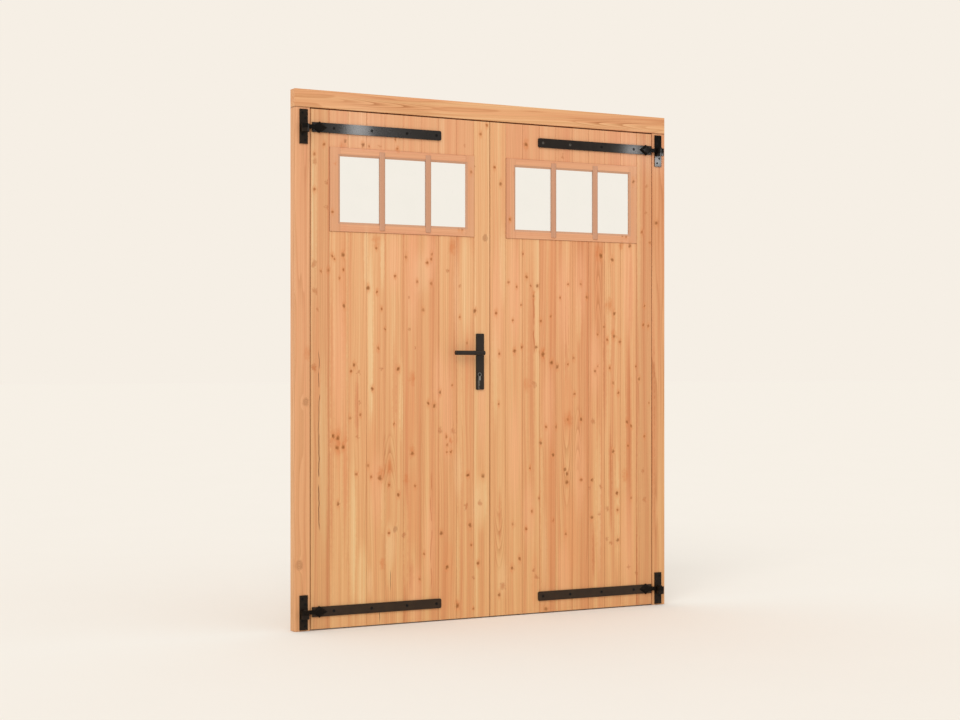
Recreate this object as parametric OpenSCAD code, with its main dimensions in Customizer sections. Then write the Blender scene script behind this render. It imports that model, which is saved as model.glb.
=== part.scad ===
// Double ledged door: two boarded leaves with a glazed light each, hung on strap hinges in a timber frame.
// Millimetres, +Z up, front of the door towards -Y. Origin: middle of the doorway at floor level, on the mid-plane of the leaves.

/* [Frame] */
// overall width of the frame
frame_w = 1800; // [1780:1:1830]
// overall height of the frame
frame_h = 2190; // [2150:1:2300]
// depth of the frame timber, front to back
frame_d = 45; // [45:0.5:60]
// visible width of a jamb on the front
jamb_face = 67; // [64:0.5:70]
// visible height of the head on the front
head_face = 72; // [65:1:90]
// how far the stop stands out behind a leaf
stop_w = 15; // [12:0.5:18]
// thickness of the stop battens on the back of the frame
stop_t = 18; // [18:0.5:24]
// width of a stop batten
stop_h = 55; // [50:1:60]

/* [Leaves] */
// thickness of a leaf, boards and back framework together
leaf_t = 43; // [42:0.5:43.5]
// thickness of the front boards
board_t = 18; // [17:0.5:18]
// gap between a leaf and its jamb
side_gap = 3.5; // [3:0.5:5]
// gap between the two leaves
meet_gap = 4; // [3.5:0.5:5]
// what the closing lip of the left leaf leaves open of that gap
lip_gap = 0.8; // [0.8:0.1:1.5]
// gap between a leaf and the head
top_gap = 6; // [4:0.5:8]
// clearance under a leaf
foot_gap = 5; // [3:0.5:12]
// cover width of the board on the hinge side
hinge_board_w = 82; // [81:0.5:84]
// cover width of each board between the edge boards
mid_board_w = 83.7; // [83:0.1:84]
// open joint line between two boards
board_joint = 0.6; // [0.4:0.1:1]
// small bevel along the front edges of a board
board_bevel = 1.2; // [0.8:0.1:1.6]

/* [Back framework] */
// width of the hinge stile
hinge_stile_w = 80; // [70:1:80]
// width of the meeting stile
meet_stile_w = 74; // [72:0.5:74]
// height of the ledge under the window
window_ledge_h = 120; // [90:1:160]
// height of the bottom ledge
bottom_ledge_h = 150; // [145:1:200]
// width of the diagonal brace
brace_w = 95; // [70:1:120]

/* [Window] */
// from the top of the frame down to the top of the window
window_drop = 227; // [220:1:240]
// height of the window frame
window_h = 344; // [300:1:360]
// face width of a window's left stile, seen from outside
win_stile_l = 46.5; // [42:0.5:50]
// face width of a window's right stile, seen from outside
win_stile_r = 41; // [40:0.5:46]
// face height of the window's upper rail
win_rail = 36; // [33:0.5:40]
// face height of the window's lower rail
win_foot_rail = 39; // [33:0.5:42]
// how far the window frame stands in front of the boards
win_proud = 4; // [3:0.5:5]
// thickness of the window frame
win_t = 30; // [28:0.5:34]
// width of the glazing rebate
win_rebate = 12; // [10:0.5:14]
// thickness of the glass
glass_t = 4; // [4:0.5:6]
// width of a glazing bar at its foot
bar_w = 25.5; // [24:0.5:32]
// middle of the first glazing bar from the window's left edge, seen from outside
bar_1 = 236; // [220:1:250]
// middle of the second glazing bar from the window's left edge, seen from outside
bar_2 = 449.5; // [430:0.5:460]
// how far a glazing bar stands in front of the window frame
bar_proud = 4; // [2:0.5:6]

/* [Hinges] */
// distance of a pin from the outer edge of the frame
pin_inset = 38; // [37:0.5:39]
// distance of a pin in front of the leaves
pin_out = 22; // [22:0.5:24]
// radius of a pin
pin_r = 8; // [7:0.5:8]
// outer radius of a strap eye
eye_r = 16.5; // [15.5:0.5:16.5]
// height of a strap eye
eye_h = 17; // [15:0.5:20]
// height of the top pins' eyes above the floor
top_eye_z = 2038; // [2034:1:2040]
// height of the bottom pins' eyes above the floor
bottom_eye_z = 75; // [75:1:90]
// width of a jamb plate
plate_w = 35; // [32:0.5:36]
// height of a jamb plate
plate_h = 140; // [130:1:140]
// thickness of a jamb plate
plate_t = 5; // [4:0.5:5]
// height of a strap
strap_h = 40; // [36:1:44]
// thickness of a strap
strap_t = 6; // [5:0.5:6]
// far end of a strap, from the outer edge of the frame
strap_end = 663; // [655:1:700]

/* [Lock] */
// distance of the lever axis from the meeting edge
backset = 53; // [50:0.5:54]
// height of the lever axis above the floor
lever_z = 1127; // [1050:1:1150]
// distance from the lever axis down to the cylinder
lock_pitch = 92; // [90:1:94]
// width of a handle plate
hplate_w = 37; // [36:0.5:42]
// how far the middle of a handle plate lies from the lever axis, towards the meeting edge
hplate_shift = 4.5; // [0:0.5:5]
// height of a handle plate
hplate_h = 238; // [230:1:250]
// thickness of a handle plate
hplate_t = 6; // [5.5:0.5:10]
// radius of a lever
lever_r = 9.5; // [8.5:0.25:10]
// radius of a lever's neck
neck_r = 8; // [7.5:0.25:8.25]
// length of a lever from its axis to its tip
lever_len = 131; // [110:1:140]
// distance of a lever's axis line from the face of the leaf
lever_out = 36; // [36:0.5:50]
// how far the latch bolt stands out when at rest
latch_out = 12; // [10:0.5:12]

/* [Barrel bolts] */
// radius of a bolt rod
rod_r = 6; // [5:0.5:6]
// distance of the rods from the meeting edge
rod_in = 37; // [34:1:40]

/* [Output] */
// list of the pieces that can be drawn one at a time
// the piece to draw

/* [Hidden] */
$fn = 48;
wood_c = [0.86, 0.62, 0.40];
frame_c = [0.84, 0.58, 0.38];
back_c = [0.82, 0.60, 0.40];
steel_c = [0.07, 0.065, 0.06];
bright_c = [0.72, 0.70, 0.66];
glass_c = [0.85, 0.92, 0.90, 0.35];

hw = frame_w / 2;
yf = -leaf_t / 2;                       // front faces of leaves and frame
yb = leaf_t / 2;                        // back face of the leaves
ybd = yf + board_t;                     // back face of the boards
yst = yf + frame_d;                     // back face of the frame, front face of the stops
ysb = yst + stop_t;                     // back face of the stops
open_x = hw - jamb_face;
lx0 = -open_x + side_gap;               // hinge edge of the left leaf
lx1 = -meet_gap / 2;                    // meeting edge of the left leaf
stile_back = 2;                         // how far the right meeting stile stands back from its board's edge, so that it swings past the lip
lz0 = foot_gap;
lz1 = frame_h - head_face - top_gap;
head_z = frame_h - head_face;
wx0 = lx0 + hinge_board_w;              // window opening in the boards
wx1 = wx0 + 8 * mid_board_w;
wz1 = frame_h - window_drop;
wz0 = wz1 - window_h;
pin_x = -hw + pin_inset;
pin_y = yf - pin_out;
lever_x = lx1 - backset;
cyl_z = lever_z - lock_pitch;
lock_y = (ybd + yb) / 2;                // mid-plane of the lock case
hp_z0 = lever_z - 156;                  // foot of the handle plates
hp_zm = hp_z0 + hplate_h / 2;
rod_x = lx1 - rod_in;
rod_y = yst + stop_t / 2;               // bolt rods, in line with the middle of the head's stop
latch_z = lever_z + 10;
dead_z = lever_z - 69;
strap_screw_x = [170, 340, 502, 640];

module left_right() { mirror([1, 0, 0]) children(); }

// ---------- general shapes ----------

module slab(x0, x1, y0, y1, z0, z1) { translate([x0, y0, z0]) cube([x1 - x0, y1 - y0, z1 - z0]); }

// flat outline in X and Z, thickened towards -Y from y
module front_plate(y, t) { translate([0, y, 0]) rotate([90, 0, 0]) linear_extrude(t) children(); }

module rounded(w, h, r) {
  square([w, h - 2 * r], center = true);
  square([w - 2 * r, h], center = true);
  for (sx = [-1, 1], sz = [-1, 1]) translate([sx * (w / 2 - r), sz * (h / 2 - r)]) circle(r);
}

// countersunk screw, head face at the origin, pointing along +Y
module csk_screw(rh, rs, len) {
  rotate([-90, 0, 0]) difference() {
    union() {
      cylinder(h = rh - rs, r1 = rh, r2 = rs);
      cylinder(h = len, r = rs);
    }
    translate([0, 0, -1]) cylinder(h = 2.2, r = rh * 0.46, $fn = 6);
  }
}

module csk_hole(rh, rs, len) {
  rotate([-90, 0, 0]) {
    translate([0, 0, -1]) cylinder(h = 1.35, r = rh + 0.15);
    translate([0, 0, 0.3]) cylinder(h = rh - rs, r1 = rh + 0.15, r2 = rs + 0.15);
    cylinder(h = len, r = rs + 0.15);
  }
}

// ---------- frame ----------

module head() color(frame_c) slab(-hw, hw, yf, yst, head_z, frame_h);

module left_jamb() color(frame_c) slab(-hw, -open_x, yf, yst, 0, head_z);
module right_jamb() color(frame_c) slab(open_x, hw, yf, yst, 0, head_z);

// battens on the back of the frame that the leaves close against; the top bolt goes up into the one on the head
module stops() color(back_c) {
  xo = open_x - stop_w + stop_h;
  for (s = [-1, 1]) slab(s < 0 ? -xo : xo - stop_h, s < 0 ? -xo + stop_h : xo, yst, ysb, 0, head_z - stop_w - 0.2);
  difference() {
    slab(-xo, xo, yst, ysb, head_z - stop_w, head_z - stop_w + stop_h);
    translate([-rod_x, rod_y, head_z - stop_w - 1]) cylinder(h = 42, r = rod_r + 1);
  }
}

pintle_screw_at = [[-6, plate_h / 2 - 15], [6, plate_h / 2 - 37], [-6, -plate_h / 2 + 37], [6, -plate_h / 2 + 15]];

module pintle(ez) {
  lug_top = ez - eye_h / 2 - 0.3;
  difference() {
    union() {
      slab(pin_x - plate_w / 2, pin_x + plate_w / 2, yf - plate_t, yf, ez - plate_h / 2, ez + plate_h / 2);
      slab(pin_x - 11, pin_x + 11, pin_y, yf - plate_t + 1, lug_top - 15, lug_top);
      translate([pin_x, pin_y, lug_top - 15]) cylinder(h = 15, r = eye_r - 0.5);
      translate([pin_x, pin_y, lug_top - 5]) cylinder(h = eye_h + 8, r = pin_r);
      translate([pin_x, pin_y, lug_top + eye_h + 3]) cylinder(h = 2.4, r1 = pin_r, r2 = pin_r - 1.6);
      translate([pin_x, pin_y, lug_top + eye_h + 5.4]) cylinder(h = 1.2, r1 = pin_r - 1.6, r2 = pin_r - 4);
    }
    for (p = pintle_screw_at) translate([pin_x + p[0], yf - plate_t, ez + p[1]]) csk_hole(5, 2.4, 12);
  }
}

module left_top_pintle() color(steel_c) pintle(top_eye_z);
module left_bottom_pintle() color(steel_c) pintle(bottom_eye_z);
module right_top_pintle() color(steel_c) left_right() pintle(top_eye_z);
module right_bottom_pintle() color(steel_c) left_right() pintle(bottom_eye_z);

module one_side_pintle_screws() for (ez = [top_eye_z, bottom_eye_z], p = pintle_screw_at)
  translate([pin_x + p[0], yf - plate_t + 0.2, ez + p[1]]) csk_screw(5, 2.4, 45);

module pintle_screws() color(steel_c) {
  one_side_pintle_screws();
  left_right() one_side_pintle_screws();
}

// ---------- boards ----------

tongue_l = 5;
ty0 = yf + board_t / 2 - 2.5;
ty1 = yf + board_t / 2 + 2.5;

// one board, grooved on its left edge and tongued on its right edge where asked
module board(x0, x1, z0, z1, groove, tongue) {
  a = groove ? x0 + board_joint / 2 : x0;
  b = tongue ? x1 - board_joint / 2 : x1;
  c = board_bevel;
  right = tongue ? [[b, ty0], [b + tongue_l, ty0 + 0.5], [b + tongue_l, ty1 - 0.5], [b, ty1]] : [];
  left = groove ? [[a, ty1 + 0.3], [a + tongue_l + 0.8, ty1 + 0.3], [a + tongue_l + 0.8, ty0 - 0.3], [a, ty0 - 0.3]] : [];
  translate([0, 0, z0]) linear_extrude(z1 - z0)
    polygon(concat([[a + c, yf], [b - c, yf], [b, yf + c]], right, [[b, ybd], [a, ybd]], left, [[a, yf + c]]));
}

module hinge_board() difference() {
  board(lx0, wx0, lz0, lz1, false, true);
  slab(wx0 - board_joint / 2, wx0 + tongue_l + 2, yf - 1, ybd + 1, wz0, wz1);
}

module meeting_board() board(wx1, lx1, lz0, lz1, true, false);

module long_boards() for (i = [0:7]) board(wx0 + i * mid_board_w, wx0 + (i + 1) * mid_board_w, lz0, wz0, true, true);
module short_boards() for (i = [0:7]) board(wx0 + i * mid_board_w, wx0 + (i + 1) * mid_board_w, wz1, lz1, true, true);

// ---------- back framework ----------

module hinge_stile() slab(lx0, lx0 + hinge_stile_w, ybd, yb, lz0, lz1);
module meeting_stile() slab(lx1 - meet_stile_w, lx1, ybd, yb, lz0, lz1);
fx0 = lx0 + hinge_stile_w;
fx1 = lx1 - meet_stile_w;
module top_ledge() slab(fx0, fx1, ybd, yb, wz1, lz1);
module window_ledge() slab(fx0, fx1, ybd, yb, wz0 - window_ledge_h, wz0);
module bottom_ledge() slab(fx0, fx1, ybd, yb, lz0, lz0 + bottom_ledge_h);

module brace() {
  z0 = lz0 + bottom_ledge_h;
  z1 = wz0 - window_ledge_h;
  dx = fx1 - fx0;
  dz = z1 - z0;
  h = brace_w * sqrt(dx * dx + dz * dz) / (2 * dx);
  w = h * dx / dz;
  translate([0, yb, 0]) rotate([90, 0, 0]) linear_extrude(yb - ybd)
    polygon([[fx0, z0], [fx0 + w, z0], [fx1, z1 - h], [fx1, z1], [fx1 - w, z1], [fx0, z0 + h]]);
}

// ---------- window ----------

sx0 = wx0 + 0.5;
sx1 = wx1 - 0.5;
sz0 = wz0 + 0.5;
sz1 = wz1 - 0.5;
wyf = yf - win_proud;                   // front of the window frame
wyb = wyf + win_t;                      // back of the window frame
gy0 = yf + 2;                           // front of the glass
gy1 = gy0 + glass_t;
gz0 = sz0 + win_foot_rail;
gz1 = sz1 - win_rail;
splay_w = 9;                            // splay in front of the glass
splay_d = 4;

// A window is drawn in the left leaf. m = 0: the left leaf's own; m = 1: the right leaf's, mirrored once it is drawn.
function stile_a(m) = m == 0 ? win_stile_l : win_stile_r;
function stile_b(m) = m == 0 ? win_stile_r : win_stile_l;
function gx0(m) = sx0 + stile_a(m);
function gx1(m) = sx1 - stile_b(m);
function bars(m) = m == 0 ? [sx0 + bar_1, sx0 + bar_2] : [sx1 - bar_2, sx1 - bar_1];
function panes(m) = [[gx0(m), bars(m)[0] - bar_w / 2], [bars(m)[0] + bar_w / 2, bars(m)[1] - bar_w / 2], [bars(m)[1] + bar_w / 2, gx1(m)]];

module window_stile(w) translate([0, 0, sz0]) linear_extrude(sz1 - sz0)
  polygon([[sx0, wyf + 1], [sx0 + 1, wyf], [sx0 + w, wyf], [sx0 + w, gy0], [sx0 + w - win_rebate, gy0], [sx0 + w - win_rebate, wyb], [sx0, wyb]]);

// splay round one pane, cut into the front of the window frame
module splay(pane) {
  e = splay_w * (1 + 1 / splay_d);
  x0 = pane[0];
  x1 = pane[1];
  y0 = wyf - 1;
  y1 = wyf + splay_d;
  polyhedron(points = [[x0 - e, y0, gz0 - e], [x1 + e, y0, gz0 - e], [x1 + e, y0, gz1 + e], [x0 - e, y0, gz1 + e], [x0, y1, gz0], [x1, y1, gz0], [x1, y1, gz1], [x0, y1, gz1]],
    faces = [[0, 3, 2, 1], [4, 5, 6, 7], [0, 1, 5, 4], [1, 2, 6, 5], [2, 3, 7, 6], [3, 0, 4, 7]]);
}

module window_stiles_shape(m) {
  difference() {
    window_stile(stile_a(m));
    splay(panes(m)[0]);
  }
  difference() {
    translate([sx0 + sx1, 0, 0]) mirror([1, 0, 0]) window_stile(stile_b(m));
    splay(panes(m)[2]);
  }
}

// lower rail of height h; its back part reaches into the corners behind the stiles' lips
module window_rail(m, h) union() {
  translate([gx0(m), 0, sz0]) rotate([90, 0, 90]) linear_extrude(gx1(m) - gx0(m))
    polygon([[wyf + 1, 0], [wyf, 1], [wyf, h], [gy0, h], [gy0, h - win_rebate], [wyb, h - win_rebate], [wyb, 0]]);
  slab(gx0(m) - win_rebate, gx0(m) + 1, gy0, wyb, sz0, sz0 + h - win_rebate);
  slab(gx1(m) - 1, gx1(m) + win_rebate, gy0, wyb, sz0, sz0 + h - win_rebate);
}

module window_rails_shape(m) {
  difference() {
    window_rail(m, win_foot_rail);
    for (pane = panes(m)) splay(pane);
  }
  difference() {
    translate([0, 0, sz0 + sz1]) mirror([0, 0, 1]) window_rail(m, win_rail);
    for (pane = panes(m)) splay(pane);
  }
}

module glazing_bar(xc) {
  union() {
    translate([xc, 0, sz0 + 10]) linear_extrude(sz1 - sz0 - 20)
      polygon([[-bar_w / 2, wyf], [-bar_w / 2, wyf - 1], [-bar_w / 2 + 6, wyf - bar_proud], [bar_w / 2 - 6, wyf - bar_proud], [bar_w / 2, wyf - 1], [bar_w / 2, wyf]]);
    slab(xc - bar_w / 2, xc + bar_w / 2, wyf - 0.5, gy0, gz0, gz1);
  }
  translate([xc, 0, gz0]) linear_extrude(gz1 - gz0)
    polygon([[-8, gy1], [8, gy1], [8, gy1 + 2], [5, gy1 + 6], [-5, gy1 + 6], [-8, gy1 + 2]]);
}

module glazing_bars(m) for (xc = bars(m)) glazing_bar(xc);

module glass(m) slab(gx0(m) - win_rebate + 2, gx1(m) + win_rebate - 2, gy0, gy1, gz0 - win_rebate + 2, gz1 + win_rebate - 2);

// splayed beads behind the glass
module side_bead() translate([0, 0, gz0 - 3.8]) linear_extrude(gz1 - gz0 + 7.6)
  polygon([[-win_rebate, gy1], [-4, gy1], [-4, gy1 + 2], [-9, gy1 + 10], [-win_rebate, gy1 + 10]]);
module foot_bead(m) translate([gx0(m) - win_rebate, 0, gz0]) rotate([90, 0, 90]) linear_extrude(gx1(m) - gx0(m) + 2 * win_rebate)
  polygon([[gy1, -win_rebate], [gy1, -4], [gy1 + 2, -4], [gy1 + 10, -9], [gy1 + 10, -win_rebate]]);

module beads(m) {
  translate([gx0(m), 0, 0]) side_bead();
  translate([gx1(m), 0, 0]) mirror([1, 0, 0]) side_bead();
  foot_bead(m);
  translate([0, 0, gz0 + gz1]) mirror([0, 0, 1]) foot_bead(m);
}

// ---------- strap hinges ----------

module lozenge(k) polygon([[-33 * k, 0], [0, -23.5 * k], [33 * k, 0], [0, 23.5 * k]]);

module strap(ez) {
  s0 = -hw + 75;
  s1 = -hw + strap_end;
  difference() {
    union() {
      front_plate(yf, strap_t) union() {
        translate([s0, ez - strap_h / 2]) square([s1 - s0 - 7, strap_h]);
        translate([s0, ez - strap_h / 2 + 7]) square([s1 - s0, strap_h - 14]);
        for (s = [-1, 1]) translate([s1 - 7, ez + s * (strap_h / 2 - 7)]) circle(7);
      }
      translate([-hw + 106, yf, ez]) rotate([90, 0, 0]) linear_extrude(9) lozenge(1);
      translate([-hw + 106, yf - 9, ez]) rotate([90, 0, 0]) linear_extrude(5.5, scale = 0.62) lozenge(1);
      slab(pin_x + 9, -hw + 92, yf - 13, yf - strap_t + 0.4, ez - eye_h / 2, ez + eye_h / 2);
      translate([pin_x, pin_y, ez - eye_h / 2]) cylinder(h = eye_h, r = eye_r);
    }
    translate([pin_x, pin_y, ez - eye_h / 2 - 1]) cylinder(h = eye_h + 2, r = pin_r + 0.06);
    for (x = strap_screw_x) translate([-hw + x, yf - strap_t, ez]) csk_hole(6, 3, 14);
  }
}

module strap_screws_shape() for (ez = [top_eye_z, bottom_eye_z], x = strap_screw_x)
  translate([-hw + x, yf - strap_t + 0.2, ez]) csk_screw(6, 3, 48);

// ---------- lock ----------

// outline of a profile cylinder in X and Z, grown by g
module profile(g) {
  circle(8.5 + g);
  translate([-5 - g, -24.5 - g]) square([10 + 2 * g, 24.5 + g]);
}

module along_y(x, y0, y1, z) { translate([x, y1, z]) rotate([90, 0, 0]) linear_extrude(y1 - y0) children(); }
module rod_y_dir(x, y0, y1, z, r) { translate([x, y1, z]) rotate([90, 0, 0]) cylinder(h = y1 - y0, r = r); }

case_z0 = lever_z - 122;
case_z1 = lever_z + 38;

module lock_case() color(bright_c) difference() {
  union() {
    slab(lx1 - 71, lx1 - 2, lock_y - 7.5, lock_y + 7.5, case_z0, case_z1);
    slab(lx1 - 3, lx1, lock_y - 10, lock_y + 10, lever_z - 157, lever_z + 73);
  }
  slab(lx1 - 69.5, lx1 - 5, lock_y - 6, lock_y + 6, case_z0 + 1.5, case_z1 - 1.5);
  slab(lx1 - 20, lx1 + 1, lock_y - 5.8, lock_y + 5.8, latch_z - 15.3, latch_z + 15.3);
  slab(lx1 - 20, lx1 + 1, lock_y - 5.8, lock_y + 5.8, dead_z - 18.3, dead_z + 18.3);
  rod_y_dir(lever_x, lock_y - 9, lock_y + 9, lever_z, 10.06);
  along_y(lever_x, lock_y - 9, lock_y + 9, cyl_z) profile(0.3);
}

module left_lock_stile() color(back_c) difference() {
  meeting_stile();
  slab(lx1 - 72, lx1 + 1, lock_y - 8, lock_y + 8, case_z0 - 1, case_z1 + 1);
  slab(lx1 - 3.2, lx1 + 1, lock_y - 10.3, lock_y + 10.3, lever_z - 157.3, lever_z + 73.3);
  rod_y_dir(lever_x, ybd - 1, yb + 1, lever_z, 11);
  along_y(lever_x, ybd - 1, yb + 1, cyl_z) profile(0.6);
}

module left_lock_board() color(wood_c) difference() {
  union() {
    meeting_board();
    slab(lx1 - 1, lx1 + meet_gap - lip_gap, yf + 6, yf + 13, lz0, lz1);
  }
  rod_y_dir(lever_x, yf - 1, ybd + 1, lever_z, 11);
  along_y(lever_x, yf - 1, ybd + 1, cyl_z) profile(0.6);
}

cyl_y = yb + hplate_t + 3;

module cylinder_body() difference() {
  along_y(lever_x, -cyl_y, cyl_y, cyl_z) profile(0);
  rod_y_dir(lever_x, -cyl_y - 1, cyl_y + 1, cyl_z, 6.5);
  rod_y_dir(lever_x, lock_y - 5.5, lock_y + 5.5, cyl_z, 15.4);
}

module cylinder_core() color(bright_c) difference() {
  union() {
    rod_y_dir(lever_x, -cyl_y + 0.4, cyl_y - 0.4, cyl_z, 6.44);
    rod_y_dir(lever_x, lock_y - 5, lock_y + 5, cyl_z, 8);
    slab(lever_x - 3, lever_x + 3, lock_y - 5, lock_y + 5, cyl_z - 15, cyl_z - 5);
  }
  for (s = [-1, 1]) slab(lever_x - 1.1, lever_x + 1.1, s > 0 ? cyl_y - 22 : -cyl_y - 1, s > 0 ? cyl_y + 1 : -cyl_y + 22, cyl_z - 4.6, cyl_z + 4.2);
}

plate_screw_z = [hp_z0 + 12, hp_z0 + hplate_h - 12];

module handle_plate() difference() {
  translate([lever_x + hplate_shift, 0, hp_zm]) front_plate(yf, hplate_t) rounded(hplate_w, hplate_h, 4);
  rod_y_dir(lever_x, yf - hplate_t - 1, yf + 1, lever_z, neck_r + 0.06);
  along_y(lever_x, yf - hplate_t - 1, yf + 1, cyl_z) profile(0.25);
}

module outer_plate() color(steel_c) handle_plate();
module inner_plate() color(steel_c) difference() {
  mirror([0, 1, 0]) handle_plate();
  for (z = plate_screw_z) translate([lever_x, yb + hplate_t, z]) mirror([0, 1, 0]) csk_hole(4.5, 2.4, 14);
}

module plate_screws() color(steel_c) for (z = plate_screw_z)
  translate([lever_x, yb + hplate_t - 0.2, z]) mirror([0, 1, 0]) csk_screw(4.5, 2.4, 57);

// lever: neck out of the plate, then a straight round bar towards the hinge side
module lever() {
  ly = yf - lever_out;
  difference() {
    union() {
      rod_y_dir(lever_x, ly, yf - 1.5, lever_z, neck_r);
      translate([lever_x + neck_r + 1, ly, lever_z]) rotate([0, -90, 0]) cylinder(h = 1, r1 = lever_r - 1, r2 = lever_r);
      translate([lever_x + neck_r, ly, lever_z]) rotate([0, -90, 0]) cylinder(h = neck_r + lever_len - 1, r = lever_r);
      translate([lever_x - lever_len + 1, ly, lever_z]) rotate([0, -90, 0]) cylinder(h = 1, r1 = lever_r, r2 = lever_r - 1);
    }
    slab(lever_x - 4.05, lever_x + 4.05, yf - 26, yf, lever_z - 4.05, lever_z + 4.05);
  }
}

module outer_lever() color(steel_c) lever();
module inner_lever() color(steel_c) mirror([0, 1, 0]) lever();

module spindle() color(bright_c) union() {
  slab(lever_x - 4, lever_x + 4, yf - 25, yb + 25, lever_z - 4, lever_z + 4);
  rod_y_dir(lever_x, lock_y - 7.4, lock_y + 7.4, lever_z, 10);
}

module latch_bolt() color(bright_c) translate([0, 0, latch_z - 15]) linear_extrude(30)
  polygon([[lx1 - 20, lock_y - 5.5], [lx1 + latch_out, lock_y - 5.5], [lx1 + latch_out, lock_y - 3.5], [lx1 + 1, lock_y + 5.5], [lx1 - 20, lock_y + 5.5]]);

module dead_bolt() color(bright_c) slab(lx1 - 32, lx1 - 0.3, lock_y - 5.5, lock_y + 5.5, dead_z - 18, dead_z + 18);

// ---------- strike and barrel bolts on the right leaf (drawn on the left, then mirrored) ----------

module strike_shape() difference() {
  slab(lx1 - stile_back - 3, lx1 - stile_back, lock_y - 10, lock_y + 10, lever_z - 110, lever_z + 55);
  slab(lx1 - 8, lx1 + 1, lock_y - 6.5, lock_y + 6.5, latch_z - 17, latch_z + 17);
  slab(lx1 - 8, lx1 + 1, lock_y - 6.5, lock_y + 6.5, dead_z - 20, dead_z + 20);
}

module struck_stile() difference() {
  slab(lx1 - meet_stile_w, lx1 - stile_back, ybd, yb, lz0, lz1);
  slab(lx1 - stile_back - 3.2, lx1 + 1, lock_y - 10.3, lock_y + 10.3, lever_z - 110.3, lever_z + 55.3);
  slab(lx1 - 16, lx1 + 1, lock_y - 7, lock_y + 7, latch_z - 18, latch_z + 18);
  slab(lx1 - 28, lx1 + 1, lock_y - 7, lock_y + 7, dead_z - 21, dead_z + 21);
}

top_bolt_z = lz1 - 142;                 // middle of the top bolt's plate
bottom_bolt_z = lz0 + 125;              // middle of the bottom bolt's plate

module bolt_plate(zm) difference() {
  union() {
    slab(rod_x - 17, rod_x + 17, yb, yb + 3, zm - 90, zm + 90);
    for (s = [-1, 1]) {
      slab(rod_x - 9.5, rod_x + 9.5, yb + 2, rod_y, zm + s * 70 - 10, zm + s * 70 + 10);
      translate([rod_x, rod_y, zm + s * 70 - 10]) cylinder(h = 20, r = 9.5);
    }
  }
  translate([rod_x, rod_y, zm - 100]) cylinder(h = 200, r = rod_r + 0.06);
}

module top_bolt_shape() union() {
  translate([rod_x, rod_y, top_bolt_z - 115]) cylinder(h = head_z - stop_w - 6 - top_bolt_z + 115, r = rod_r);
  rod_y_dir(rod_x, rod_y, rod_y + 24, top_bolt_z - 15, 4.5);
  rod_y_dir(rod_x, rod_y + 16, rod_y + 24, top_bolt_z - 15, 7);
}

module bottom_bolt_shape() union() {
  translate([rod_x, rod_y, lz0 + 3]) cylinder(h = bottom_bolt_z + 115 - lz0 - 3, r = rod_r);
  rod_y_dir(rod_x, rod_y, rod_y + 24, bottom_bolt_z + 15, 4.5);
  rod_y_dir(rod_x, rod_y + 16, rod_y + 24, bottom_bolt_z + 15, 7);
}

// ---------- the two leaves ----------

module left_hinge_board() color(wood_c) hinge_board();
module left_long_boards() color(wood_c) long_boards();
module left_short_boards() color(wood_c) short_boards();
module left_hinge_stile() color(back_c) hinge_stile();
module left_top_ledge() color(back_c) top_ledge();
module left_window_ledge() color(back_c) window_ledge();
module left_bottom_ledge() color(back_c) bottom_ledge();
module left_brace() color(back_c) brace();
module left_window_stiles() color(wood_c) window_stiles_shape(0);
module left_window_rails() color(wood_c) window_rails_shape(0);
module left_glazing_bars() color(wood_c) glazing_bars(0);
module left_glass() color(glass_c) glass(0);
module left_beads() color(back_c) beads(0);
module left_top_strap() color(steel_c) strap(top_eye_z);
module left_bottom_strap() color(steel_c) strap(bottom_eye_z);
module left_strap_screws() color(steel_c) strap_screws_shape();
module lock_cylinder() color(bright_c) cylinder_body();

module right_hinge_board() color(wood_c) left_right() hinge_board();
module right_meeting_board() color(wood_c) left_right() meeting_board();
module right_long_boards() color(wood_c) left_right() long_boards();
module right_short_boards() color(wood_c) left_right() short_boards();
module right_hinge_stile() color(back_c) left_right() hinge_stile();
module right_meeting_stile() color(back_c) left_right() struck_stile();
module right_top_ledge() color(back_c) left_right() top_ledge();
module right_window_ledge() color(back_c) left_right() window_ledge();
module right_bottom_ledge() color(back_c) left_right() bottom_ledge();
module right_brace() color(back_c) left_right() brace();
module right_window_stiles() color(wood_c) left_right() window_stiles_shape(1);
module right_window_rails() color(wood_c) left_right() window_rails_shape(1);
module right_glazing_bars() color(wood_c) left_right() glazing_bars(1);
module right_glass() color(glass_c) left_right() glass(1);
module right_beads() color(back_c) left_right() beads(1);
module right_top_strap() color(steel_c) left_right() strap(top_eye_z);
module right_bottom_strap() color(steel_c) left_right() strap(bottom_eye_z);
module right_strap_screws() color(steel_c) left_right() strap_screws_shape();
module strike_plate() color(bright_c) left_right() strike_shape();
module bolt_plates() color(steel_c) left_right() { bolt_plate(top_bolt_z); bolt_plate(bottom_bolt_z); }
module top_bolt() color(steel_c) left_right() top_bolt_shape();
module bottom_bolt() color(steel_c) left_right() bottom_bolt_shape();

// ---------- drawing ----------

head();
left_jamb();
right_jamb();
stops();
left_top_pintle();
left_bottom_pintle();
right_top_pintle();
right_bottom_pintle();
pintle_screws();
left_hinge_board();
left_lock_board();
left_long_boards();
left_short_boards();
left_hinge_stile();
left_lock_stile();
left_top_ledge();
left_window_ledge();
left_bottom_ledge();
left_brace();
left_window_stiles();
left_window_rails();
left_glazing_bars();
left_glass();
left_beads();
left_top_strap();
left_bottom_strap();
left_strap_screws();
lock_case();
lock_cylinder();
outer_plate();
inner_plate();
plate_screws();
right_hinge_board();
right_meeting_board();
right_long_boards();
right_short_boards();
right_hinge_stile();
right_meeting_stile();
right_top_ledge();
right_window_ledge();
right_bottom_ledge();
right_brace();
right_window_stiles();
right_window_rails();
right_glazing_bars();
right_glass();
right_beads();
right_top_strap();
right_bottom_strap();
right_strap_screws();
strike_plate();
bolt_plates();
outer_lever();
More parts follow.
